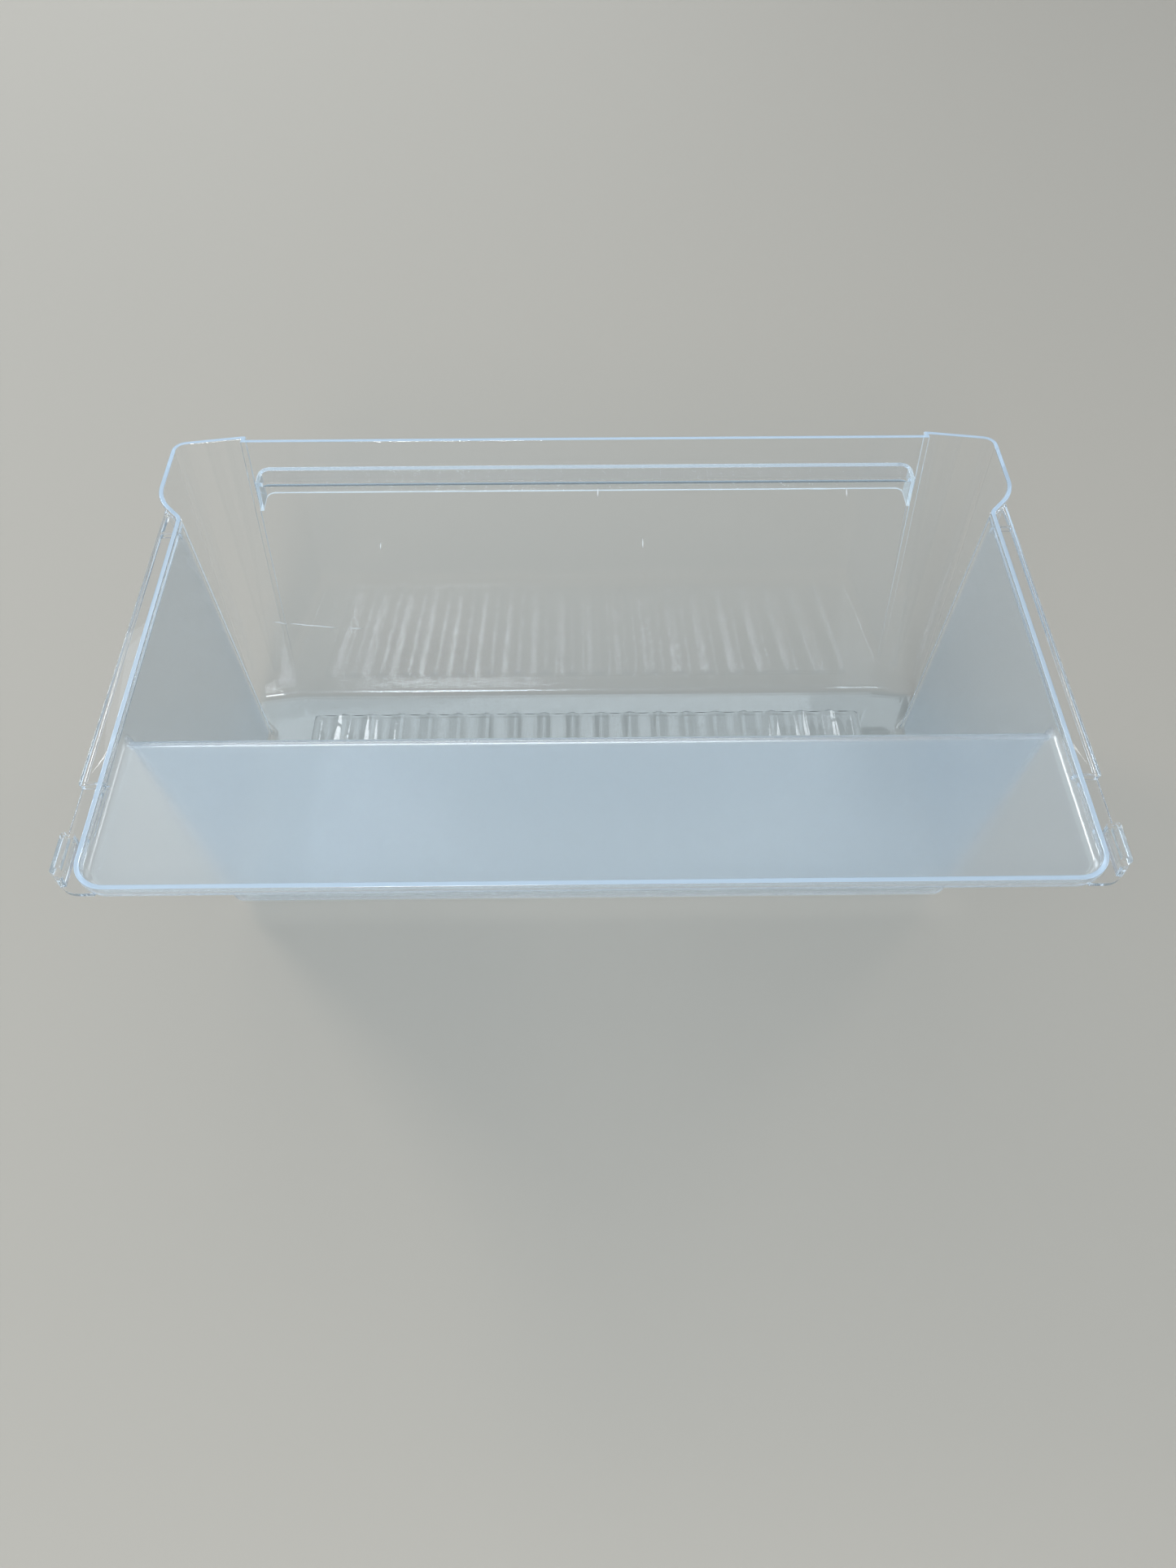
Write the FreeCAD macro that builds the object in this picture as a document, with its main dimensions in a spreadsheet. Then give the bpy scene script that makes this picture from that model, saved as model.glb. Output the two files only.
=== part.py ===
"""Crisper drawer: a clear moulded bin with a raised rear shelf, flared front corners,
a hooked pull lip, side runners and rear stop lugs.

Millimetres. X runs across the drawer, the front faces -Y, Z is up from the underside.
Every form is drawn with y = 0 on the outer face of the rear rim and reaches forward
from there. Each body then moves back by half the overall depth, so that the origin
lies under the middle of the drawer.
"""
import FreeCAD, Part
import math
import os

import Sketcher

os.makedirs("parts", exist_ok=True)
doc = FreeCAD.newDocument("crisper_drawer")

# Driving dimensions: name, millimetres or degrees, meaning
SIZES = [
    ("rim_height", 242.0, "underside to rim"),
    ("wall", 3.2, "wall thickness"),
    ("rim_depth", 392.0, "rear rim to the set-back middle of the front rim"),
    ("body_half_width", 286.2, "outer half width at the rim, behind the front corners"),
    ("flare", 18.8, "how far the front corners stand out beyond the side walls"),
    ("side_draft", 3.4, "degrees that the side walls lean in towards the base"),
    ("front_draft", 9.6, "degrees that the front corners lean in towards the base"),
    ("corner_depth", 87.6, "front rim to where the side walls start to flare"),
    ("jog_run", 21.0, "front to back length of the flare"),
    ("jog_root_radius", 6.0, "plan radius where the flare leaves the side wall"),
    ("jog_nose_radius", 36.5, "plan radius where the flare meets the front corner"),
    ("corner_width", 49.0, "width of a front corner's front face at the rim"),
    ("ear_sweep", 8.6, "degrees that each front corner is swept back in plan"),
    ("ear_corner_radius", 10.5, "plan radius of the outermost front corners"),
    ("recess_depth", 4.2, "how far the front's middle is set back at the rim"),
    ("recess_foot", 30.0, "height at which the set-back dies out"),
    ("rear_corner_radius", 20.0, "plan radius of the rear corners"),
    ("shelf_drop", 10.0, "rim to the shelf's upper face"),
    ("shelf_reach", 116.0, "rear rim to the corner of shelf and riser"),
    ("shelf_nose_radius", 10.0, "rounding of the shelf's front edge"),
    ("riser_draft", 5.0, "degrees that the riser leans forward to the base"),
    ("riser_foot_radius", 18.0, "inner rounding between riser and base"),
    ("base_radius", 5.5, "inner rounding between walls and base"),
    ("pan_height", 14.0, "height of the base pan that the walls stand on"),
    ("ridge_margin", 50.6, "side walls at the rim to the outermost ridges, as seen from above"),
    ("hollow_count", 19, "number of hollows between the ridges"),
    ("ridge_height", 3.0, "height of the ridges"),
    ("ridge_crest", 1.2, "flat width along a ridge's top"),
    ("hollow_depth", 2.6, "depth of the hollows between the ridges"),
    ("ridge_gap", 26.6, "ridges' front ends to the foot of the front"),
    ("ridge_corner_radius", 6.2, "plan radius of the ridge field's front corners"),
    ("lip_drop", 35.0, "rim to the pull lip's upper face"),
    ("lip_reach", 15.0, "how far the pull lip stands out beyond the front rim"),
    ("lip_hook", 24.0, "height of the pull lip's turned-down edge"),
    ("lip_corner_radius", 9.0, "plan radius of the pull lip's outer corners"),
    ("lip_edge_radius", 2.0, "rounding along the pull lip's upper edge"),
    ("runner_drop", 4.0, "rim to the runners' upper face"),
    ("runner_width", 12.8, "how far the runners stand out from the side walls at the rim"),
    ("runner_thickness", 3.0, "thickness of the runners"),
    ("runner_skirt", 7.0, "height of the runners' turned-down edge"),
    ("skirt_thickness", 2.2, "thickness of the turned-down edge and the cross webs"),
    ("neck_start", 72.0, "rear rim to where a runner gets narrower"),
    ("neck_inset", 3.0, "how much narrower the runner is there"),
    ("tail_reach", 14.2, "how far a runner reaches inwards round the rear corner"),
    ("tail_radius", 12.0, "plan radius of the runner round the rear corner"),
    ("web_gap", 10.4, "front cross web to where the side walls start to flare"),
    ("lug_front", 41.0, "rear rim to the front end of a rear lug"),
    ("lug_length", 30.0, "length of a rear lug"),
    ("lug_width", 7.4, "width of a rear lug"),
    ("lug_overhang", 1.4, "how far a rear lug stands out beyond the runner"),
    ("lug_height", 12.0, "height of a rear lug"),
    ("lug_wall", 2.4, "wall around the slot in a rear lug"),
    ("lug_slot_depth", 8.0, "depth of the slot in a rear lug"),
    ("lug_chamfer", 4.0, "chamfer on the rear outer corner of a rear lug"),
]

sheet = doc.addObject("Spreadsheet::Sheet", "Size")
for row, (name, value, meaning) in enumerate(SIZES, start=1):
    sheet.set("A%d" % row, meaning)
    sheet.set("B%d" % row, "%g" % value)
    sheet.setAlias("B%d" % row, name)
doc.recompute()

# Places that several pieces share, as expressions over the sheet
SHELF_TOP = "(Size.rim_height - Size.shelf_drop)"
HALF_DEPTH = "((Size.rim_depth + Size.lip_reach) / 2)"
JOG_DEPTH = "(Size.rim_depth - Size.corner_depth)"
CORNER_HALF = "(Size.body_half_width + Size.flare)"
PANEL_HALF = "(%s - Size.corner_width)" % CORNER_HALF
SHELF_SEAM = "(Size.shelf_reach - Size.shelf_nose_radius)"
RISER_SEAM = "(Size.shelf_reach + Size.rim_height * tan(Size.riser_draft) + Size.riser_foot_radius)"
FRONT_SEAM = "(%s - Size.jog_root_radius)" % JOG_DEPTH
STEP_FACE = "(%s - Size.wall)" % PANEL_HALF
RUNNER_TOP = "(Size.rim_height - Size.runner_drop)"
RUNNER_EDGE = "(Size.body_half_width + Size.runner_width)"
LUG_EDGE = "(%s + Size.lug_overhang)" % RUNNER_EDGE
LUG_FACE = "(%s - Size.lug_width)" % LUG_EDGE
RIDGE_PITCH = "(2 * (Size.body_half_width - Size.ridge_margin) / Size.hollow_count)"
FLARE_DRAFT = "atan(tan(Size.side_draft) * cos(atan(Size.flare / Size.jog_run)))"

# A cut reaches this far past what it cuts, and whole cuts and regions reach this far from the middle
OVERSHOOT = "(2 * Size.wall)"
BEYOND = "(Size.rim_depth + Size.rim_height)"

# The middle of a rounded edge lies this share of its radius inside the sharp edge, along each side
MID_ROUND = 1 - math.sqrt(0.5)


def number(text):
    """Value of an expression over the sheet, as a plain number."""
    value = sheet.evalExpression(text)
    return float(getattr(value, "Value", value))


def point(x, depth, z):
    """Point from expressions, with depth counted forward from the rear rim."""
    return FreeCAD.Vector(number(x), -number(depth), number(z))


def settle(feature):
    """Recompute, and stop the build if the feature failed."""
    doc.recompute()
    if "Invalid" in feature.State or "Error" in feature.State:
        raise ValueError("%s failed: %s" % (feature.Label, feature.getStatusString()))


def new_body(name):
    """Body whose zero plane is the outer face of the rear rim."""
    body = doc.addObject("PartDesign::Body", name)
    body.setExpression("Placement.Base.y", HALF_DEPTH)
    return body


def drawn(body, name, role, corners, offset="0"):
    """Closed sketch through corners bound to the sheet; a corner may add its radius."""
    sketch = body.newObject("Sketcher::SketchObject", name)
    plane = [item for item in body.Origin.OriginFeatures if item.Role == role][0]
    sketch.AttachmentSupport = [(plane, "")]
    sketch.MapMode = "FlatFace"
    sketch.setExpression("AttachmentOffset.Base.z", offset)
    spots = [FreeCAD.Vector(number(corner[0]), number(corner[1]), 0) for corner in corners]
    count = len(spots)
    for index in range(count):
        line = Part.LineSegment(spots[index], spots[(index + 1) % count])
        sketch.addGeometry(line, False)
    for index in range(count):
        joined = Sketcher.Constraint("Coincident", index, 2, (index + 1) % count, 1)
        sketch.addConstraint(joined)
    for index, corner in enumerate(corners):
        for axis, text in zip(("DistanceX", "DistanceY"), corner):
            bound = Sketcher.Constraint(axis, -1, 1, index, 1, number(text))
            place = sketch.addConstraint(bound)
            sketch.setExpression("Constraints[%d]" % place, text)
    for index, corner in enumerate(corners):
        if len(corner) == 3:
            round_corner(sketch, index, corner[2])
    return sketch


def round_corner(sketch, index, radius):
    """Arc at the start of one line of a sketch, with its radius bound to the sheet."""
    sketch.fillet(index, 1, number(radius), True, True)
    arc = max(place for place, item in enumerate(sketch.Geometry) if isinstance(item, Part.ArcOfCircle))
    place = sketch.addConstraint(Sketcher.Constraint("Radius", arc, number(radius)))
    sketch.setExpression("Constraints[%d]" % place, radius)


def plan(body, name, corners, height):
    """Sketch seen from above: corners are (x, depth, and a radius or not), at a height."""
    flat = [(corner[0], "-(%s)" % corner[1], *corner[2:]) for corner in corners]
    return drawn(body, name, "XY_Plane", flat, height)


def section(body, name, corners):
    """Sketch in the middle plane: corners are (depth, z, and a radius or not)."""
    side = [("-(%s)" % corner[0], *corner[1:]) for corner in corners]
    return drawn(body, name, "YZ_Plane", side)


def grown(body, kind, name, sketch, length, both_ways=False, turned=False):
    """Pad or Pocket of a sketch. It stops the build if a Pocket cuts nothing."""
    before = body.Tip.Shape.Volume if body.Tip else 0.0
    feature = body.newObject("PartDesign::" + kind, name)
    feature.Profile = sketch
    feature.SideType = "Symmetric" if both_ways else "One side"
    feature.Reversed = turned
    feature.setExpression("Length", length)
    settle(feature)
    if kind == "Pocket" and not feature.Shape.Volume < before:
        raise ValueError(name + " cuts nothing")
    return feature


def rounded(body, name, edges, radius):
    """Fillet of picked edges of the body's last feature."""
    last = body.Tip
    feature = body.newObject("PartDesign::Fillet", name)
    feature.Base = (last, edges)
    feature.setExpression("Radius", radius)
    settle(feature)
    return feature


def leaned(body, name, spots, angle):
    """Draft of the faces at the given points, hinged on the rim and narrowing downwards."""
    last = body.Tip
    above = [point("0", "Size.rim_depth / 2", "Size.rim_height")]
    feature = body.newObject("PartDesign::Draft", name)
    feature.Base = (last, names_at("Face", last.Shape.Faces, spots))
    feature.NeutralPlane = (last, names_at("Face", last.Shape.Faces, above))
    feature.Reversed = True
    feature.setExpression("Angle", angle)
    settle(feature)
    return feature


def nearest(items, spot):
    """Index of the edge or face that lies nearest to a point."""
    vertex = Part.Vertex(spot)
    gaps = [item.distToShape(vertex)[0] for item in items]
    return gaps.index(min(gaps))


def names_at(kind, items, spots):
    """Names such as Face3 of the faces or edges that pass through the given points."""
    return sorted({"%s%d" % (kind, nearest(items, spot) + 1) for spot in spots})


def edges_at(shape, spots):
    """Names of the edges that pass through the given points."""
    return names_at("Edge", shape.Edges, spots)


def outer_edges_of(shape, spots):
    """Names of the edges around the patch of faces that pass through the points."""
    patch = [shape.Faces[nearest(shape.Faces, spot)] for spot in spots]
    names = []
    for index, edge in enumerate(shape.Edges, start=1):
        holders = [face for face in patch if any(edge.isSame(other) for other in face.Edges)]
        if len(holders) == 1:
            names.append("Edge%d" % index)
    return names


def both_sides(spots):
    """The points and their mirror images across the middle plane."""
    return spots + [FreeCAD.Vector(-spot.x, spot.y, spot.z) for spot in spots]


def half_plan(inset, height):
    """Right-hand corners (x, depth) of the drawer's plan at a height, rear to front."""
    drop = "(Size.rim_height - (%s))" % height
    lean = "%s * tan(Size.side_draft)" % drop
    miter = "%s * tan(atan(Size.flare / Size.jog_run) / 2)" % inset
    side = "(Size.body_half_width - %s - %s)" % (inset, lean)
    ear = "(%s - %s - %s)" % (CORNER_HALF, inset, lean)
    jog = "%s + %s" % (JOG_DEPTH, miter)
    front = ear_front(inset, height)
    swept = "(%s - (%s - %s) * tan(Size.ear_sweep))" % (front, ear, PANEL_HALF)
    return [
        (side, inset),
        (side, jog),
        (ear, jog + " + Size.jog_run"),
        (ear, swept),
        (PANEL_HALF, front),
    ]


def ear_front(inset, height):
    """Depth of the front corners' inner edge at a height."""
    lean = "(Size.rim_height - (%s)) * tan(Size.front_draft)" % height
    return "(Size.rim_depth + Size.recess_depth - %s - %s)" % (inset, lean)


def riser_depth(inset, height):
    """Depth of the riser's face at a height; an inset of 0 is its hidden rear face."""
    lean = "(%s - (%s)) * tan(Size.riser_draft)" % (SHELF_TOP, height)
    thick = "(Size.wall - %s) / cos(Size.riser_draft)" % inset
    return "(Size.shelf_reach + %s - %s)" % (lean, thick)


def stepped_form(name, inset, floor, shelf, corner_radii, nose, foot, blend, step_half):
    """Solid of the stepped drawer: its outside, or with an inset of the wall its inside."""
    body = new_body(name)
    right = half_plan(inset, "Size.rim_height")
    left = [("-" + across, depth) for across, depth in reversed(right)]
    rim = plan(body, name + "_rim_plan", right + left, "Size.rim_height")
    grown(body, "Pad", name + "_block", rim, "Size.rim_height - " + floor, turned=True)

    middle = "(Size.rim_height + %s) / 2" % floor
    posts = [point(across, depth, middle) for across, depth in right]
    mids = [(first + second) / 2 for first, second in zip(posts, posts[1:])]
    front = point("0", ear_front(inset, "Size.rim_height"), middle)
    leaned(body, name + "_side_draft", both_sides([mids[0], mids[2]]), "Size.side_draft")
    leaned(body, name + "_flare_draft", both_sides([mids[1]]), FLARE_DRAFT)
    leaned(body, name + "_front_draft", both_sides([mids[3], front]), "Size.front_draft")

    posts = [point(across, depth, middle) for across, depth in half_plan(inset, middle)]
    labels = ("rear_corner", "jog_root", "jog_nose", "ear_corner")
    for label, post, radius in zip(labels, posts, corner_radii):
        picked = edges_at(body.Tip.Shape, both_sides([post]))
        rounded(body, name + "_" + label, picked, radius)

    # The room under the shelf, behind the riser
    below = "(%s - %s)" % (floor, OVERSHOOT)
    step = section(body, name + "_step", [
        ("-" + OVERSHOOT, shelf),
        (riser_depth(inset, shelf), shelf, nose),
        (riser_depth(inset, below), below),
        ("-" + OVERSHOOT, below),
    ])
    grown(body, "Pocket", name + "_under_shelf", step, "2 * " + BEYOND, both_ways=True)
    foot_line = point("0", riser_depth(inset, floor), floor)
    rounded(body, name + "_riser_foot", edges_at(body.Tip.Shape, [foot_line]), foot)

    # One unbroken blend runs round the base, up the riser, over the nose and round the shelf
    halfway = "(%s + %s) / 2" % (shelf, floor)
    nose_line = point("0", riser_depth(inset, shelf), shelf)
    patch = [
        point("0", "Size.shelf_reach / 2", shelf),
        nose_line + FreeCAD.Vector(0, 1, -1) * number(nose) * MID_ROUND,
        point("0", riser_depth(inset, halfway), halfway),
        foot_line + FreeCAD.Vector(0, -1, 1) * number(foot) * MID_ROUND,
        point("0", "(%s + Size.shelf_reach) / 2" % JOG_DEPTH, floor),
    ]
    rounded(body, name + "_base_blend", outer_edges_of(body.Tip.Shape, patch), blend)

    # The front's middle is set back at the rim, and the set-back dies out lower down
    wedge = section(body, name + "_set_back", [
        (ear_front(inset, "Size.recess_foot"), "Size.recess_foot"),
        ("Size.rim_depth - " + inset, "Size.rim_height"),
        ("Size.rim_depth + Size.recess_depth + " + OVERSHOOT, "Size.rim_height"),
    ])
    grown(body, "Pocket", name + "_front_set_back", wedge, "2 * " + step_half, both_ways=True)
    return body


def wider(radius):
    """A radius that is one wall larger."""
    return "(%s + Size.wall)" % radius


def tighter(radius):
    """A radius that is one wall smaller."""
    return "(%s - Size.wall)" % radius


outside = stepped_form(
    "outside", "0", "0", "(%s - Size.wall)" % SHELF_TOP,
    ("Size.rear_corner_radius", "Size.jog_root_radius",
     "Size.jog_nose_radius", "Size.ear_corner_radius"),
    tighter("Size.shelf_nose_radius"), wider("Size.riser_foot_radius"),
    wider("Size.base_radius"), STEP_FACE)
inside = stepped_form(
    "inside", "Size.wall", "Size.wall", SHELF_TOP,
    (tighter("Size.rear_corner_radius"), wider("Size.jog_root_radius"),
     tighter("Size.jog_nose_radius"), tighter("Size.ear_corner_radius")),
    "Size.shelf_nose_radius", "Size.riser_foot_radius",
    "Size.base_radius", PANEL_HALF)
shell = doc.addObject("Part::Cut", "drawer_shell")
shell.Base = outside
shell.Tool = inside


def block(name, across, depths, heights):
    """Box between two places along each axis, given as expressions."""
    box = doc.addObject("Part::Box", name)
    box.setExpression("Length", "%s - (%s)" % (across[1], across[0]))
    box.setExpression("Width", "%s - (%s)" % (depths[1], depths[0]))
    box.setExpression("Height", "%s - (%s)" % (heights[1], heights[0]))
    box.setExpression("Placement.Base.x", across[0])
    box.setExpression("Placement.Base.y", "%s - %s" % (HALF_DEPTH, depths[1]))
    box.setExpression("Placement.Base.z", heights[0])
    return box


def joined(kind, name, base, tool):
    """Part::Cut, Part::Common or Part::Fuse of two objects."""
    result = doc.addObject("Part::" + kind, name)
    result.Base = base
    result.Tool = tool
    return result


def shell_piece(name, across, depths, heights):
    """The stretch of the drawer's wall that lies inside a box."""
    return joined("Common", name, shell, block(name + "_reach", across, depths, heights))


WHOLE_WIDTH = ("-" + BEYOND, BEYOND)
MIDDLE_WIDTH = ("-" + PANEL_HALF, PANEL_HALF)
SIDES = {
    "left": ("-" + BEYOND, "0"),
    "right": ("0", BEYOND),
}
CORNERS = {
    "left": ("-" + BEYOND, "-" + PANEL_HALF),
    "right": (PANEL_HALF, BEYOND),
}
WALL_HEIGHTS = ("Size.pan_height", BEYOND)


def bin_floor():
    """Base pan with a field of ridges that run from the riser towards the front."""
    reach = ("-" + BEYOND, BEYOND)
    pan = shell_piece("base_pan", WHOLE_WIDTH, reach, ("-" + BEYOND, "Size.pan_height"))
    half = "(Size.body_half_width - Size.ridge_margin)"
    crest = "Size.wall + Size.ridge_height"
    front = "(%s - Size.ridge_gap)" % ear_front("Size.wall", "Size.wall")
    body = new_body("ridge_field")
    field = plan(body, "ridge_field_plan", [
        ("-" + half, RISER_SEAM),
        (half, RISER_SEAM),
        (half, front, "Size.ridge_corner_radius"),
        ("-" + half, front, "Size.ridge_corner_radius"),
    ], crest)
    grown(body, "Pad", "ridge_field_block", field, "Size.ridge_height + Size.wall / 2", turned=True)

    chord = "(%s - Size.ridge_crest)" % RIDGE_PITCH
    radius = "((%s ^ 2 / 4 + Size.hollow_depth ^ 2) / (2 * Size.hollow_depth))" % chord
    first = "-(Size.hollow_count - 1) * %s / 2" % RIDGE_PITCH
    centre = "%s - Size.hollow_depth + %s" % (crest, radius)
    hollow = body.newObject("Sketcher::SketchObject", "hollow_round")
    plane = [item for item in body.Origin.OriginFeatures if item.Role == "XZ_Plane"][0]
    hollow.AttachmentSupport = [(plane, "")]
    hollow.MapMode = "FlatFace"
    middle = FreeCAD.Vector(number(first), number(centre), 0)
    hollow.addGeometry(Part.Circle(middle, FreeCAD.Vector(0, 0, 1), number(radius)), False)
    for kind, text in (("DistanceX", first), ("DistanceY", centre)):
        place = hollow.addConstraint(Sketcher.Constraint(kind, -1, 1, 0, 3, number(text)))
        hollow.setExpression("Constraints[%d]" % place, text)
    place = hollow.addConstraint(Sketcher.Constraint("Radius", 0, number(radius)))
    hollow.setExpression("Constraints[%d]" % place, radius)
    cut = grown(body, "Pocket", "first_hollow", hollow, "2 * " + BEYOND, both_ways=True)

    row = body.newObject("PartDesign::LinearPattern", "hollow_row")
    row.Originals = [cut]
    row.Direction = (hollow, ["H_Axis"])
    row.Mode = "Spacing"
    row.setExpression("Offset", RIDGE_PITCH)
    row.setExpression("Occurrences", "Size.hollow_count")
    body.Tip = row
    settle(row)
    return joined("Fuse", "bin_floor", pan, body)


def pull_lip():
    """Finger lip on the outside of the front: a ledge with a turned-down edge all round."""
    body = new_body("pull_lip_form")
    top = "(Size.rim_height - Size.lip_drop)"
    front = "(Size.rim_depth + Size.lip_reach)"
    root = "(Size.rim_depth - Size.lip_drop - Size.lip_hook)"
    outline = plan(body, "pull_lip_plan", [
        ("-" + STEP_FACE, root),
        (STEP_FACE, root),
        (STEP_FACE, front, "Size.lip_corner_radius"),
        ("-" + STEP_FACE, front, "Size.lip_corner_radius"),
    ], top)
    grown(body, "Pad", "pull_lip_block", outline, "Size.lip_hook", turned=True)
    upper_edge = edges_at(body.Tip.Shape, [point("0", front, top)])
    rounded(body, "pull_lip_edge", upper_edge, "Size.lip_edge_radius")
    side = "(%s - Size.wall)" % STEP_FACE
    hollow = plan(body, "pull_lip_hollow_plan", [
        ("-" + side, root),
        (side, root),
        (side, front + " - Size.wall", "Size.lip_corner_radius - Size.wall"),
        ("-" + side, front + " - Size.wall", "Size.lip_corner_radius - Size.wall"),
    ], top + " - Size.lip_hook")
    grown(body, "Pocket", "pull_lip_hollow", hollow, "Size.lip_hook - Size.wall", turned=True)
    return joined("Cut", "pull_lip", body, outside)


def mirrored(side, text):
    """The same place on the left or right of the drawer."""
    return text if side == "right" else "-(%s)" % text


def handed(side, corners):
    """Plan corners moved to one side of the drawer."""
    return [(mirrored(side, corner[0]), *corner[1:]) for corner in corners]


def runner(side):
    """Flange that the drawer slides on, with a turned-down edge and two cross webs."""
    body = new_body(side + "_runner_form")
    edge = RUNNER_EDGE
    neck = "(%s - Size.neck_inset)" % edge
    tail = "(Size.body_half_width - Size.tail_reach)"
    widen = "(Size.neck_start + Size.neck_inset)"
    end = "(%s + Size.jog_run + Size.wall)" % JOG_DEPTH
    flange = plan(body, side + "_flange_plan", handed(side, [
        (tail, "0"),
        (LUG_FACE, "0", "Size.tail_radius"),
        (LUG_FACE, "Size.lug_front"),
        (neck, "Size.lug_front"),
        (neck, "Size.neck_start"),
        (edge, widen),
        (edge, end),
        (tail, end),
    ]), RUNNER_TOP)
    grown(body, "Pad", side + "_flange", flange, "Size.runner_thickness", turned=True)
    inner_edge = "(%s - Size.skirt_thickness)" % edge
    inside_wall = "(Size.body_half_width - %s)" % OVERSHOOT
    web = "(%s - Size.web_gap)" % JOG_DEPTH
    strips = (
        ("_skirt", inner_edge, widen, end),
        ("_front_web", inside_wall, web, "(%s + Size.skirt_thickness)" % web),
        ("_rear_web", inside_wall, widen, "(%s + Size.skirt_thickness)" % widen),
    )
    for label, start, near, far in strips:
        strip = plan(body, side + label + "_plan", handed(side, [
            (start, near),
            (edge, near),
            (edge, far),
            (start, far),
        ]), RUNNER_TOP)
        grown(body, "Pad", side + label, strip, "Size.runner_skirt", turned=True)
    return joined("Cut", side + "_runner", body, outside)


def rear_lug(side):
    """Stop lug beside the end of a runner, with a slot from above."""
    body = new_body(side + "_rear_lug")
    rear = "(Size.lug_front - Size.lug_length)"
    outline = plan(body, side + "_lug_plan", handed(side, [
        (LUG_FACE, rear),
        (LUG_EDGE + " - Size.lug_chamfer", rear),
        (LUG_EDGE, rear + " + Size.lug_chamfer"),
        (LUG_EDGE, "Size.lug_front", "Size.lug_wall"),
        (LUG_FACE, "Size.lug_front"),
    ]), RUNNER_TOP)
    grown(body, "Pad", side + "_lug_block", outline, "Size.lug_height", turned=True)
    slot = plan(body, side + "_lug_slot_plan", handed(side, [
        (LUG_FACE + " + Size.lug_wall", rear + " + Size.lug_wall + Size.lug_chamfer"),
        (LUG_EDGE + " - Size.lug_wall", rear + " + Size.lug_wall + Size.lug_chamfer"),
        (LUG_EDGE + " - Size.lug_wall", "Size.lug_front - Size.lug_wall"),
        (LUG_FACE + " + Size.lug_wall", "Size.lug_front - Size.lug_wall"),
    ]), RUNNER_TOP)
    grown(body, "Pocket", side + "_lug_slot", slot, "Size.lug_slot_depth")
    return body


def build_nodes():
    """Every named piece of the drawer."""
    nodes = {
        "bin_floor": bin_floor(),
        "front_panel": shell_piece("front_panel", MIDDLE_WIDTH, (FRONT_SEAM, BEYOND), WALL_HEIGHTS),
        "rear_riser": shell_piece("rear_riser", WHOLE_WIDTH, (SHELF_SEAM, RISER_SEAM), WALL_HEIGHTS),
        "rear_shelf": shell_piece("rear_shelf", WHOLE_WIDTH, ("-" + BEYOND, SHELF_SEAM), WALL_HEIGHTS),
        "pull_lip": pull_lip(),
    }
    for side in ("left", "right"):
        corner = side + "_front_corner"
        nodes[corner] = shell_piece(corner, CORNERS[side], (FRONT_SEAM, BEYOND), WALL_HEIGHTS)
        wall = side + "_side_wall"
        nodes[wall] = shell_piece(wall, SIDES[side], (RISER_SEAM, FRONT_SEAM), WALL_HEIGHTS)
        nodes[side + "_runner"] = runner(side)
        nodes[side + "_rear_lug"] = rear_lug(side)
    return nodes


nodes = build_nodes()
doc.recompute()

for item in doc.Objects:
    if "Invalid" in item.State or "Error" in item.State:
        raise ValueError("%s failed: %s" % (item.Label, item.getStatusString()))
for name, item in nodes.items():
    item.Label = name
    shape = item.Shape
    if shape.isNull() or not shape.isValid() or len(shape.Solids) != 1:
        raise ValueError("%s is not one valid solid: %d" % (name, len(shape.Solids)))
for name, item in nodes.items():
    item.Shape.exportStep(os.path.join("parts", name + ".step"))
    print("%-20s %10.1f mm3  %4d faces" % (name, item.Shape.Volume, len(item.Shape.Faces)))
whole = Part.makeCompound([item.Shape for item in nodes.values()])
print("box", whole.BoundBox)
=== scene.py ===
"""Looks of the crisper drawer: one clear moulding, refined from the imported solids.

The thirteen solids are stretches of one moulding that meet face to face. Here they are
joined into one skin, so that light bends at real surfaces only, its edges are rounded,
and the skin is then shared out again, one piece for each node.
"""
import math

import bmesh
import bpy
from mathutils import Matrix, Vector
from mathutils.bvhtree import BVHTree


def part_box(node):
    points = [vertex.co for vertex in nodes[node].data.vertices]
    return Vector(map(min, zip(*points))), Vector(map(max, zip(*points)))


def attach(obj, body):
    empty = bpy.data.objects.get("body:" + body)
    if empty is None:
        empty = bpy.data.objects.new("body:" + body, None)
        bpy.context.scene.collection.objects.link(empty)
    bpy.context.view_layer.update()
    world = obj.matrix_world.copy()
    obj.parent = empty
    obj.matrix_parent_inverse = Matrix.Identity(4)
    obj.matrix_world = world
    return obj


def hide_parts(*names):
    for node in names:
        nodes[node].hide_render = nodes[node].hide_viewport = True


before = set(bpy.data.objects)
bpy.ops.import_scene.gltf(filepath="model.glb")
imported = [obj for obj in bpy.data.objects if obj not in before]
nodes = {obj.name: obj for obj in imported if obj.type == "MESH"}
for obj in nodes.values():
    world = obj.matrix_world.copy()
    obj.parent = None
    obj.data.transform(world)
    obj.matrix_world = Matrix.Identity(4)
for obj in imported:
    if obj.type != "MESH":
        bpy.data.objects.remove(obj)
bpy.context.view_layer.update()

scene = bpy.context.scene
NAMES = sorted(nodes)

# Camera, as fitted to the drawer's edges in the photo
CAMERA_PLACE = Vector((0.00758, 0.54557, 0.785))
PITCH = math.radians(52.90)
YAW = math.radians(0.75)
ROLL = math.radians(-0.056)
FOCAL_PIXELS = 1447.0
LONG_SIDE_PIXELS = 1927.0
SENSOR = 36.0

# Nodes whose roots sink into the wall, and nodes with a fine haze
ROOTED_NODES = ("left_runner", "right_runner", "pull_lip")
HAZY_NODES = ("left_side_wall", "right_side_wall", "rear_riser", "rear_shelf")

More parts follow.
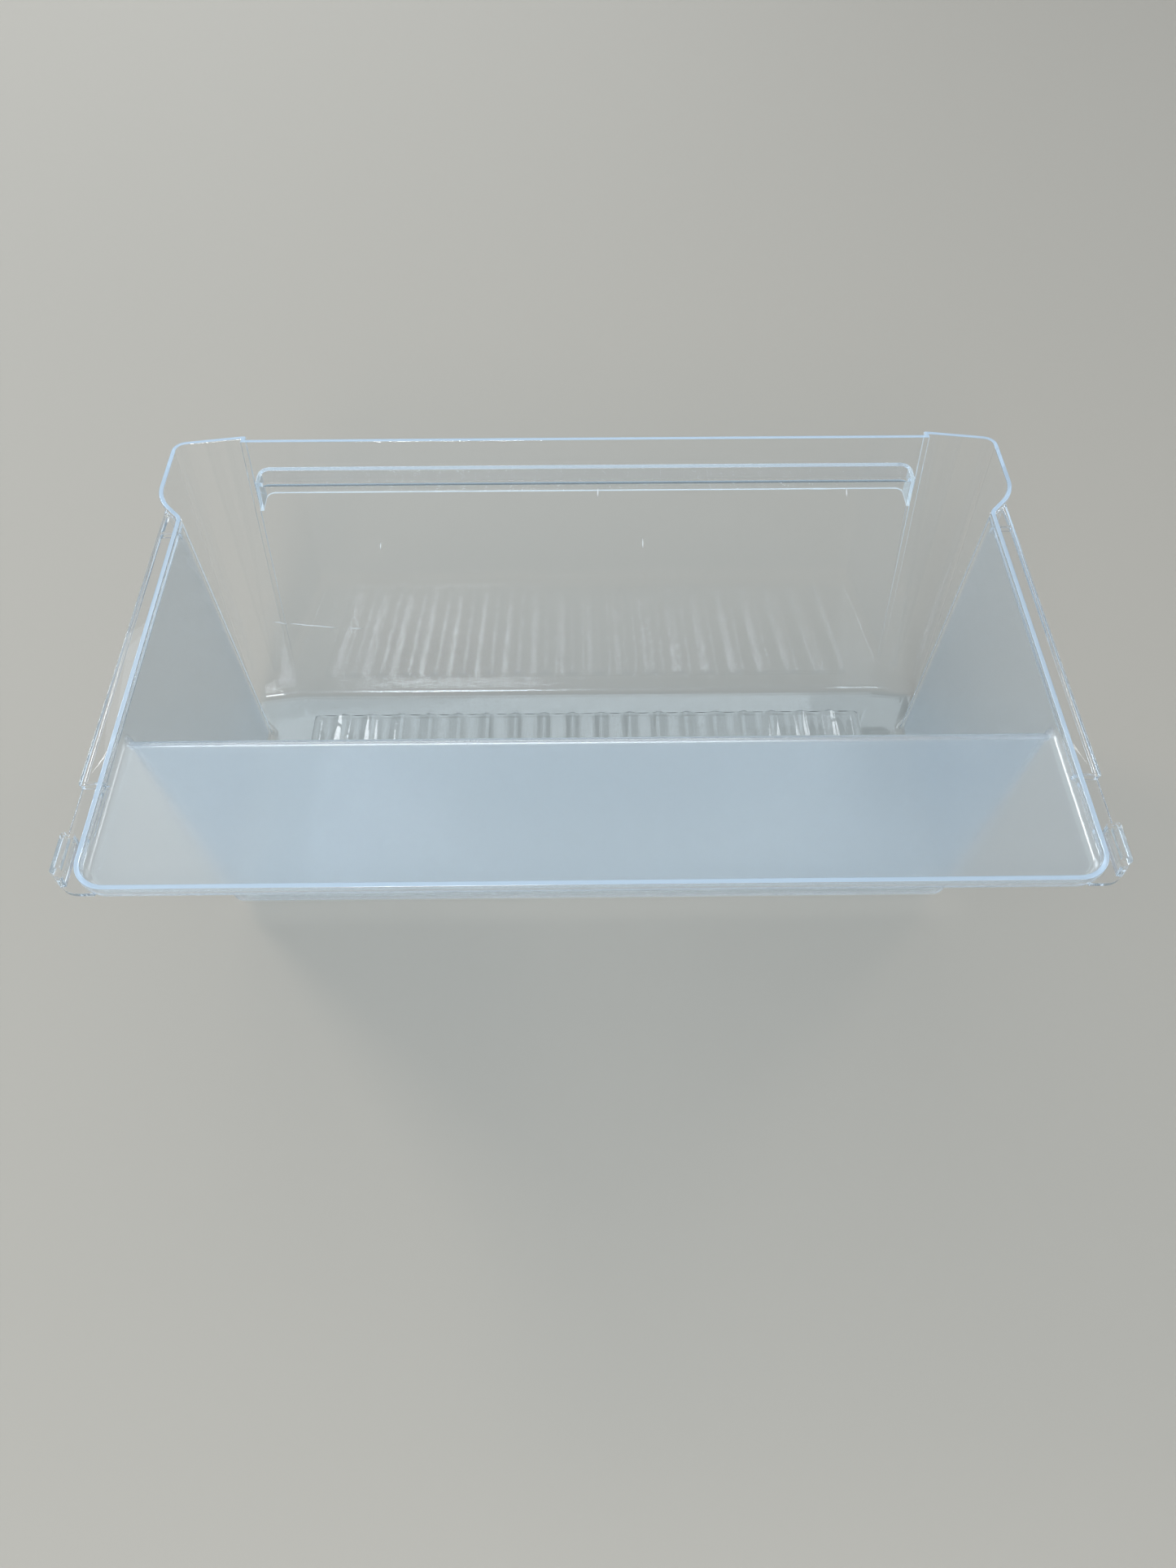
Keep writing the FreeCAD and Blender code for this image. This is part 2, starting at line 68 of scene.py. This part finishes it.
# Skin, in metres
EDGE_ROUNDING = 0.0006
ROOT_DEPTH = 0.0012
TOUCHING = 0.0002
SOLID_WELD = 2e-6
UNION_WELD = 1e-5
IN_PLANE = 5e-6
STRIP_LENGTH = 0.2
STRIP_WIDENING = 100.0

# Angles: edges sharper than the first are rounded, faces flatter than the second are one flat,
# and faces within the third of each other share their shading
SHARP = math.radians(32)
FLAT = math.radians(0.15)
SMOOTH = math.radians(50)
FACING = 0.9

# Places on the drawer: rim's top, foot of the lip's hook, side walls, and the step beside the front panel
RIM_HEIGHT = 0.242
LIP_FOOT = 0.184
SIDE_REACH = 0.26
STEP_REACH = (0.2520, 0.2565)
STEP_FOOT = 0.04
FRONT_REACH = -0.15

# Front panel's inner face: its place at the rim, and how far it comes back for each metre below that
PANEL_FACE = -0.1852
PANEL_DRAFT = 0.149

# Material places on each piece; the last two carry painted light: a painted sky reflection on the rim's top
# and a painted highlight on bright edges
PLASTIC_PLACE, SEAM_PLACE, SKY_SHEEN_PLACE, HIGHLIGHT_PLACE = range(4)

# Light that has been reflected more often than this inside the wall ends in a pale glow: a pale diffuse
# colour painted in place of the light it would carry on to
TRAPPED_DEPTH = 2.5
PAINTED_EDGE_GLOW = (0.78, 0.88, 0.97, 1.0)

IOR = 1.5
WHITE = (1.0, 1.0, 1.0, 1.0)
SCRATCH_COLOUR = (0.9, 0.93, 0.95, 1.0)
SCRATCH_DEPTH = 0.003
SCRATCH_HALF_WIDTH = 0.0006

FLOOR_REACH = 12.0
FLOOR_DROP = 0.0004


# Camera

def place_camera():
    """Camera at the photo's viewpoint, with the photo's field of view."""
    forward = Vector((-math.sin(YAW) * math.cos(PITCH), -math.cos(YAW) * math.cos(PITCH), -math.sin(PITCH)))
    level = Vector((-math.cos(YAW), math.sin(YAW), 0.0))
    fall = forward.cross(level)
    right = math.cos(ROLL) * level + math.sin(ROLL) * fall
    down = -math.sin(ROLL) * level + math.cos(ROLL) * fall
    turn = Matrix((right, -down, -forward)).transposed().to_4x4()
    data = bpy.data.cameras.new("camera")
    data.sensor_width = SENSOR
    data.lens = SENSOR * FOCAL_PIXELS / LONG_SIDE_PIXELS
    data.clip_start = 0.01
    camera = bpy.data.objects.new("camera", data)
    camera.matrix_world = Matrix.Translation(CAMERA_PLACE) @ turn
    scene.collection.objects.link(camera)
    scene.camera = camera


# Materials

class Tree:
    """Short way to write a node material."""

    def __init__(self, name):
        self.material = bpy.data.materials.new(name)
        self.material.use_nodes = True
        self.nodes = self.material.node_tree.nodes
        self.links = self.material.node_tree.links
        self.nodes.clear()

    def add(self, kind, **values):
        """Node with its settings, and its inputs given by name with spaces as underscores."""
        node = self.nodes.new(kind)
        for name, value in values.items():
            socket = name.replace("_", " ")
            if socket in node.inputs:
                if isinstance(value, bpy.types.NodeSocket):
                    self.links.new(value, node.inputs[socket])
                else:
                    node.inputs[socket].default_value = value
            else:
                setattr(node, name, value)
        return node

    def math(self, operation, first, second):
        """Result of a math node."""
        node = self.nodes.new("ShaderNodeMath")
        node.operation = operation
        for socket, value in zip(node.inputs, (first, second)):
            if isinstance(value, bpy.types.NodeSocket):
                self.links.new(value, socket)
            else:
                socket.default_value = value
        return node.outputs[0]

    def spread(self, value, low, high, to_low, to_high):
        """Value moved from one range to another."""
        node = self.nodes.new("ShaderNodeMapRange")
        node.interpolation_type = "SMOOTHSTEP"
        for socket, number in zip(node.inputs[1:5], (low, high, to_low, to_high)):
            socket.default_value = number
        self.links.new(value, node.inputs[0])
        return node.outputs[0]

    def mixed(self, factor, first, second):
        """Mix of two shaders."""
        node = self.nodes.new("ShaderNodeMixShader")
        self.links.new(factor, node.inputs[0])
        self.links.new(first.outputs[0], node.inputs[1])
        self.links.new(second.outputs[0], node.inputs[2])
        return node

    def finished(self, shader):
        """The material, with this shader on its surface."""
        output = self.add("ShaderNodeOutputMaterial")
        self.links.new(shader.outputs[0], output.inputs["Surface"])
        return self.material


def scratch_mask(tree, place, start, end):
    """Thin mark on the front wall between two points, 1 at its middle and 0 round it."""
    start, end = (
        Vector((side, PANEL_FACE + PANEL_DRAFT * (RIM_HEIGHT - up), up)) for side, up in (start, end))
    along = (end - start).normalized()
    across = along.cross(Vector((0.0, 1.0, 0.0))).normalized()
    turn = Matrix((along, across.cross(along), across)).transposed().to_euler()
    mapping = tree.add("ShaderNodeMapping", vector_type="TEXTURE", Vector=place)
    mapping.inputs["Location"].default_value = (start + end) / 2
    mapping.inputs["Rotation"].default_value = turn
    mapping.inputs["Scale"].default_value = ((end - start).length / 2, SCRATCH_DEPTH, SCRATCH_HALF_WIDTH)
    ball = tree.add("ShaderNodeTexGradient", gradient_type="SPHERICAL", Vector=mapping.outputs[0])
    return ball.outputs["Fac"]


def plastic(name, colour, roughness, through, shade, fine_lines=False, scratches=()):
    """Clear plastic with uneven gloss and slight waves; shade is the colour of its shadow."""
    tree = Tree(name)
    place = tree.add("ShaderNodeTexCoord").outputs["Object"]
    smudge = tree.add("ShaderNodeTexNoise", Vector=place, Scale=9.0, Detail=4.0, Roughness=0.6)
    rough = tree.spread(smudge.outputs["Fac"], 0.45, 0.75, roughness, roughness + 0.05)
    wave = tree.add("ShaderNodeTexNoise", Vector=place, Scale=7.0, Detail=1.0)
    bump = tree.add("ShaderNodeBump", Strength=0.12, Distance=0.0006, Height=wave.outputs["Fac"])
    if fine_lines:
        stretched = tree.add("ShaderNodeMapping", Vector=place, Scale=(18.0, 260.0, 120.0))
        stretched.inputs["Rotation"].default_value = (0.3, 0.2, 0.7)
        streaks = tree.add("ShaderNodeTexNoise", Vector=stretched.outputs[0], Scale=1.0, Detail=2.0)
        lines = tree.spread(streaks.outputs["Fac"], 0.66, 0.74, 0.0, 1.0)
        fine = tree.add("ShaderNodeBump", Strength=0.05, Distance=0.0002, Height=lines)
        tree.links.new(bump.outputs[0], fine.inputs["Normal"])
        bump = fine
    shader = tree.add(
        "ShaderNodeBsdfPrincipled", Base_Color=colour, Roughness=rough, IOR=IOR,
        Transmission_Weight=through, Normal=bump.outputs[0],
    )
    if scratches:
        marks = 0.0
        for start, end in scratches:
            marks = tree.math("ADD", marks, scratch_mask(tree, place, start, end))
        pale = tree.add("ShaderNodeBsdfDiffuse", Color=SCRATCH_COLOUR)
        shader = tree.mixed(tree.spread(marks, 0.0, 0.7, 0.0, 0.8), shader, pale)
    path = tree.add("ShaderNodeLightPath")
    trapped = tree.math("GREATER_THAN", path.outputs["Glossy Depth"], TRAPPED_DEPTH)
    # Painted glow: a pale diffuse colour in place of the light trapped in the wall
    glow = tree.add("ShaderNodeBsdfDiffuse", Color=PAINTED_EDGE_GLOW)
    seen = tree.mixed(trapped, shader, glow)
    # Lamps and light from the floor pass straight through, tinted
    passing = tree.math("MAXIMUM", path.outputs["Is Shadow Ray"], path.outputs["Is Diffuse Ray"])
    tint = tree.add("ShaderNodeBsdfTransparent", Color=shade)
    return tree.finished(tree.mixed(passing, seen, tint))


def seam_material():
    """Faces inside the wall, where one piece of the moulding runs on into the next."""
    tree = Tree("seam_inside_wall")
    return tree.finished(tree.add("ShaderNodeBsdfTransparent", Color=WHITE))


def floor_material():
    """Plain pale studio floor."""
    tree = Tree("studio_floor")
    shader = tree.add("ShaderNodeBsdfPrincipled", Base_Color=(0.43, 0.405, 0.36, 1.0), Roughness=0.7)
    return tree.finished(shader)


# Scratches that the photo shows on the front panel: how far across and up each starts, and where it ends
SCRATCHES = (
    ((0.264, 0.0805), (0.249, 0.077)),
    ((0.252, 0.0785), (0.230, 0.076)),
    ((0.244, 0.0765), (0.217, 0.075)),
    ((0.229, 0.0755), (0.208, 0.073)),
    ((0.202, 0.073), (0.186, 0.072)),
    ((-0.045, 0.159), (-0.0455, 0.147)),
    ((-0.0095, 0.2035), (-0.009, 0.1935)),
    ((-0.200, 0.202), (-0.202, 0.192)),
    ((0.1625, 0.157), (0.164, 0.148)),
)

# Colour, roughness, share of light let through, and shadow colour of each plastic
CLEAR = plastic(
    "clear_plastic", (0.985, 0.993, 1.0, 1.0), 0.01, 1.0, (0.90, 0.93, 0.95, 1.0),
    fine_lines=True, scratches=SCRATCHES)
HAZY = plastic("hazy_plastic", (0.86, 0.92, 0.97, 1.0), 0.19, 0.93, (0.80, 0.84, 0.87, 1.0))
# Rim's flat top: its blue colour is a painted reflection of sky light, not a dye of the plastic
SKY_SHEEN_RIM = plastic("rim_painted_sky_sheen", (0.57, 0.71, 0.86, 1.0), 0.12, 0.42, (0.80, 0.87, 0.95, 1.0))
# Step beside the front panel and underside of the lip's hook: a near-white colour painted in as a highlight
PAINTED_HIGHLIGHT = plastic("painted_highlight_plastic", (0.88, 0.96, 1.0, 1.0), 0.10, 0.25, (0.80, 0.87, 0.95, 1.0))
SEAM = seam_material()


# Moulding

# One material for each node, by which the union keeps its faces apart
MARKS = [bpy.data.materials.new("mark_" + name) for name in NAMES]

# Planes in which the wall pieces meet: axis and level
SEAM_PLANES = (
    (2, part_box("bin_floor")[1].z),
    (1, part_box("left_side_wall")[0].y),
    (1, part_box("left_side_wall")[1].y),
    (1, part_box("rear_shelf")[0].y),
    (0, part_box("front_panel")[0].x),
    (0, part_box("front_panel")[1].x),
)


def sink_root(form, walls):
    """Move the faces that lie against the wall a little into it, so that the union trims them."""
    pushes = {}
    for face in form.faces:
        _, normal, _, gap = walls.find_nearest(face.calc_center_median())
        if gap < TOUCHING and normal.dot(face.normal) < -FACING:
            for vertex in face.verts:
                pushes.setdefault(vertex, []).append(face.normal.copy())
    for vertex, normals in pushes.items():
        vertex.co += sum(normals, Vector()).normalized() * ROOT_DEPTH


def welded(name, place, walls):
    """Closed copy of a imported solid, with one face for each flat and its node's place on it."""
    form = bmesh.new()
    form.from_mesh(nodes[name].data)
    bmesh.ops.remove_doubles(form, verts=form.verts, dist=SOLID_WELD)
    bmesh.ops.recalc_face_normals(form, faces=form.faces)
    if name in ROOTED_NODES:
        sink_root(form, walls)
    bmesh.ops.dissolve_limit(form, angle_limit=FLAT, verts=form.verts, edges=form.edges)
    for face in form.faces:
        face.material_index = place
    mesh = bpy.data.meshes.new("welded")
    form.to_mesh(mesh)
    form.free()
    for mark in MARKS:
        mesh.materials.append(mark)
    return bpy.data.objects.new("welded", mesh)


def joined_skin():
    """One closed skin over all the solids; each face keeps the place of its node."""
    solid = bmesh.new()
    for name in NAMES:
        if name not in ROOTED_NODES:
            solid.from_mesh(nodes[name].data)
    walls = BVHTree.FromBMesh(solid)
    solid.free()
    parts = [welded(name, place, walls) for place, name in enumerate(NAMES)]
    others = bpy.data.collections.new("others")
    scene.collection.children.link(others)
    base = parts.pop(0)
    scene.collection.objects.link(base)
    for part in parts:
        others.objects.link(part)
    union = base.modifiers.new("union", "BOOLEAN")
    union.operation = "UNION"
    union.operand_type = "COLLECTION"
    union.collection = others
    union.solver = "EXACT"
    found = base.evaluated_get(bpy.context.evaluated_depsgraph_get())
    form = bmesh.new()
    form.from_mesh(found.to_mesh())
    found.to_mesh_clear()
    for part in (base, *parts):
        bpy.data.objects.remove(part)
    bpy.data.collections.remove(others)
    return form


def linked_patch(start):
    """All vertices that edges link to one vertex, always in the same order."""
    patch = {start: True}
    to_visit = [start]
    while to_visit:
        for edge in to_visit.pop().link_edges:
            for vertex in edge.verts:
                if vertex not in patch:
                    patch[vertex] = True
                    to_visit.append(vertex)
    return list(patch)


def cleaned(form):
    """Drop the slivers that the union leaves between curved walls, and weld what is left."""
    met = set()
    patches = []
    for vertex in form.verts:
        if vertex not in met:
            patches.append(linked_patch(vertex))
            met.update(patches[-1])
    patches.sort(key=len)
    for patch in patches[:-1]:
        bmesh.ops.delete(form, geom=patch, context="VERTS")
    bmesh.ops.remove_doubles(form, verts=form.verts, dist=UNION_WELD)
    drop_flaps(form)
    bmesh.ops.dissolve_limit(
        form, angle_limit=FLAT, verts=form.verts, edges=form.edges, delimit={"MATERIAL"})


def drop_flaps(form):
    """Delete pairs of faces that lie back to back on the same corners."""
    by_corners = {}
    for face in form.faces:
        by_corners.setdefault(frozenset(face.verts), []).append(face)
    flaps = [face for faces in by_corners.values() if len(faces) > 1 for face in faces]
    bmesh.ops.delete(form, geom=flaps, context="FACES")


def in_plane(edge, axis, level):
    """Whether an edge lies in the plane at this level of this axis."""
    return all(abs(vertex.co[axis] - level) < IN_PLANE for vertex in edge.verts)


def in_seam(edge):
    """Whether an edge lies in a plane where two pieces meet."""
    return any(in_plane(edge, axis, level) for axis, level in SEAM_PLANES)


def width_of(face):
    """Area of a face over its longest edge."""
    return face.calc_area() / max(edge.calc_length() for edge in face.edges)


def rounded_edges(form):
    """Small rounding along the sharp edges, as a mould leaves it."""
    sharp = [
        edge for edge in form.edges
        if len(edge.link_faces) == 2 and edge.calc_face_angle(0.0) > SHARP
        and edge.calc_length() > EDGE_ROUNDING and not in_seam(edge)
        and edge.link_faces[0].material_index == edge.link_faces[1].material_index
        and min(width_of(face) for face in edge.link_faces) > EDGE_ROUNDING / 2
    ]
    bmesh.ops.bevel(
        form, geom=sharp, offset=EDGE_ROUNDING, offset_type="OFFSET", segments=2, profile=0.5,
        affect="EDGES", clamp_overlap=False, material=-1, loop_slide=True)


def in_order(form):
    """The same mesh, with its vertices and faces in an order that follows from their places alone."""
    vertices = sorted(form.verts, key=lambda vertex: tuple(vertex.co))
    rank = {vertex: place for place, vertex in enumerate(vertices)}
    rings = []
    for face in form.faces:
        ring = [rank[vertex] for vertex in face.verts]
        start = ring.index(min(ring))
        rings.append((ring[start:] + ring[:start], face.material_index))
    fresh = bmesh.new()
    corners = [fresh.verts.new(vertex.co) for vertex in vertices]
    for ring, node_place in sorted(rings):
        fresh.faces.new([corners[place] for place in ring]).material_index = node_place
    form.free()
    fresh.normal_update()
    return fresh


def keep_normals(form):
    """Store, at every corner, the normal that the broad faces round it give."""
    layer = form.loops.layers.float_vector.new("kept_normal")
    areas = {face: face.calc_area() for face in form.faces}
    for vertex in form.verts:
        for loop in vertex.link_loops:
            own = loop.face.normal
            total = Vector()
            for other in vertex.link_faces:
                if own.angle(other.normal, math.pi) < SMOOTH:
                    total += other.normal * areas[other]
            loop[layer] = (total if total.length > 0 else own).normalized()


def odd_ends(edges):
    """Vertices where a chain of edges stops."""
    met = {}
    for edge in edges:
        for vertex in edge.verts:
            met[vertex] = met.get(vertex, 0) + 1
    return [vertex for vertex, count in met.items() if count % 2]


def bridged(part, ends):
    """Edges between the loose ends, nearest pairs first."""
    pairs = sorted(
        ((one.co - two.co).length, place, other)
        for place, one in enumerate(ends) for other, two in enumerate(ends[:place]))
    used = set()
    bridges = []
    for _, place, other in pairs:
        if place not in used and other not in used:
            used |= {place, other}
            corners = (ends[place], ends[other])
            bridges.append(part.edges.get(corners) or part.edges.new(corners))
    return bridges


def filled(part, edges, axis, level):
    """Faces over rings of edges in a seam plane, facing away from the piece."""
    outward = level - sum(vertex.co[axis] for vertex in part.verts) / len(part.verts)
    normal = Vector([math.copysign(float(place == axis), outward) for place in range(3)])
    made = bmesh.ops.triangle_fill(part, edges=edges, normal=normal, use_dissolve=False)
    faces = [item for item in made["geom"] if isinstance(item, bmesh.types.BMFace)]
    for face in faces:
        face.normal_update()
        if face.normal.dot(normal) < 0:
            face.normal_flip()
    return faces


def rings_of(edges):
    """Closed rings of corners along open edges, each in the direction that its filling face takes."""
    onward = {}
    for edge in edges:
        if len(edge.link_faces) == 1:
            loop = edge.link_loops[0]
            onward.setdefault(loop.link_loop_next.vert, []).append(loop.vert)
    rings = []
    while any(onward.values()):
        path = [next(vertex for vertex, ends in onward.items() if ends)]
        while onward.get(path[-1]):
            vertex = onward[path[-1]].pop()
            if vertex in path:
                start = path.index(vertex)
                rings.append(path[start:])
                path = path[:start + 1]
            else:
                path.append(vertex)
    return [ring for ring in rings if len(ring) > 2]


def unrolled_fill(part, ring):
    """Faces over a ring; along the side wall and round its corner they are made as if laid flat.

    Laid flat, a long strip is widened towards its ends, so that every face reaches across it.
    """
    places = [vertex.co.copy() for vertex in ring]
    if min(abs(place.x) for place in places) > SIDE_REACH:
        ways = [place.y - abs(place.x) for place in places]
        centre = sum(ways) / len(ways)
        middle = sum(place.z for place in places) / len(places)
        widening = STRIP_WIDENING if max(ways) - min(ways) > STRIP_LENGTH else 0.0
        for vertex, way, place in zip(ring, ways, places):
            vertex.co = (0.0, way, (place.z - middle) * (1 + widening * (way - centre) ** 2))
    face = part.faces.new(ring)
    face.normal_update()
    made = bmesh.ops.triangulate(part, faces=[face], ngon_method="BEAUTY")
    for vertex, place in zip(ring, places):
        vertex.co = place
    return made["faces"]


def capped(part):
    """Close a piece where it was cut from its neighbours, one seam plane after another."""
    left = [edge for edge in part.edges if len(edge.link_faces) == 1]
    faces = []
    all_bridges = []
    for axis, level in SEAM_PLANES:
        rim = [edge for edge in left if in_plane(edge, axis, level)]
        if not rim:
            continue
        left = [edge for edge in left if edge not in rim]
        bridges = bridged(part, odd_ends(rim))
        all_bridges += bridges
        faces += filled(part, list(dict.fromkeys([*rim, *bridges])), axis, level)
    for ring in rings_of(dict.fromkeys([*left, *all_bridges])):
        faces += unrolled_fill(part, ring)
    return faces


def painted_light_place(face, name):
    """Material place of a face: painted sky reflection on the rim's flat top, painted highlight on the step
    beside the front panel and under the lip's hook, else plastic.
    """
    middle = face.calc_center_median()
    # The rim's flat top gets the painted sky reflection
    if face.normal.z > FACING and middle.z > RIM_HEIGHT - TOUCHING:
        return SKY_SHEEN_PLACE
    # The step beside the front panel and the underside of the hook get the painted highlight
    beside_panel = STEP_REACH[0] < abs(middle.x) < STEP_REACH[1] and middle.y < FRONT_REACH
    if abs(face.normal.x) > FACING and beside_panel and middle.z > STEP_FOOT:
        return HIGHLIGHT_PLACE
    under_hook = name == "pull_lip" and face.normal.z < -FACING and middle.z < LIP_FOOT
    return HIGHLIGHT_PLACE if under_hook else PLASTIC_PLACE


def stretch_of(form, place):
    """Copy of the faces that belong to one node, with their corner normals."""
    kept = form.loops.layers.float_vector["kept_normal"]
    part = bmesh.new()
    part_kept = part.loops.layers.float_vector.new("kept_normal")
    copies = {}
    for face in form.faces:
        if face.material_index != place:
            continue
        for vertex in face.verts:
            if vertex not in copies:
                copies[vertex] = part.verts.new(vertex.co)
        copy = part.faces.new([copies[vertex] for vertex in face.verts])
        copy.material_index = painted_light_place(face, NAMES[place])
        for corner, loop in zip(copy.loops, face.loops):
            corner[part_kept] = loop[kept]
    return part


def shared_out(form):
    """One object for each node, with its stretch of the skin, closed where the wall runs on."""
    bmesh.ops.triangulate(form, faces=[face for face in form.faces if len(face.verts) > 3])
    drop_flaps(form)
    for place, name in enumerate(NAMES):
        part = stretch_of(form, place)
        kept = part.loops.layers.float_vector["kept_normal"]
        for face in capped(part):
            face.normal_update()
            face.material_index = SEAM_PLACE
            for corner in face.loops:
                corner[kept] = face.normal
        mesh = bpy.data.meshes.new(name + "_skin")
        part.to_mesh(mesh)
        part.free()
        hazy = name in HAZY_NODES
        for material in (HAZY if hazy else CLEAR, SEAM, SKY_SHEEN_RIM, PAINTED_HIGHLIGHT):
            mesh.materials.append(material)
        mesh.polygons.foreach_set("use_smooth", [True] * len(mesh.polygons))
        mesh.normals_split_custom_set([item.vector.copy() for item in mesh.attributes["kept_normal"].data])
        mesh.attributes.remove(mesh.attributes["kept_normal"])
        piece = bpy.data.objects.new(name + "_skin", mesh)
        scene.collection.objects.link(piece)
        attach(piece, "root")
        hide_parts(name)


# Studio

def studio():
    """Pale floor, soft lamps and an even surround."""
    side = FLOOR_REACH
    mesh = bpy.data.meshes.new("floor")
    mesh.from_pydata(
        [(-side, -side, 0), (side, -side, 0), (side, side, 0), (-side, side, 0)], [], [(0, 1, 2, 3)])
    mesh.materials.append(floor_material())
    floor = bpy.data.objects.new("floor", mesh)
    floor.location.z = -FLOOR_DROP
    scene.collection.objects.link(floor)

    # Name, place, point it is aimed at, width, height, power in watts and colour
    lamps = (
        ("window", (2.5, -2.1, 2.3), (0.0, -0.1, 0.0), 0.9, 0.8, 50.0, (0.93, 0.97, 1.0)),
        ("side", (-2.5, -2.1, 2.3), (0.0, -0.1, 0.0), 0.9, 0.8, 16.0, (0.93, 0.97, 1.0)),
        ("overhead", (0.25, -1.45, 2.3), (0.0, 0.1, 0.2), 2.1, 1.1, 7.0, (0.80, 0.92, 1.0)),
        ("strip", (0.08, -2.15, 2.3), (0.0, -0.1, 0.0), 2.4, 0.3, 3.2, (0.85, 0.95, 1.0)),
        ("front", (0.5, -3.4, 1.1), (0.0, 0.0, 0.2), 2.4, 0.7, 14.0, (0.93, 0.97, 1.0)),
        ("rear", (0.45, 2.7, 2.0), (0.0, -0.1, 0.0), 0.6, 1.1, 80.0, (0.93, 0.97, 1.0)),
    )
    for name, place, target, width, height, power, colour in lamps:
        data = bpy.data.lights.new(name, "AREA")
        data.shape = "RECTANGLE"
        data.size, data.size_y = width, height
        data.energy = power
        data.color = colour
        lamp = bpy.data.objects.new(name, data)
        lamp.location = place
        lamp.rotation_euler = (Vector(target) - Vector(place)).to_track_quat("-Z", "Y").to_euler()
        scene.collection.objects.link(lamp)

    world = bpy.data.worlds.new("surround")
    world.use_nodes = True
    background = world.node_tree.nodes["Background"]
    background.inputs["Color"].default_value = (0.90, 0.95, 1.0, 1.0)
    background.inputs["Strength"].default_value = 0.39
    scene.world = world


place_camera()
skin = joined_skin()
cleaned(skin)
rounded_edges(skin)
skin = in_order(skin)
keep_normals(skin)
shared_out(skin)
skin.free()
studio()
scene.view_settings.view_transform = "Standard"
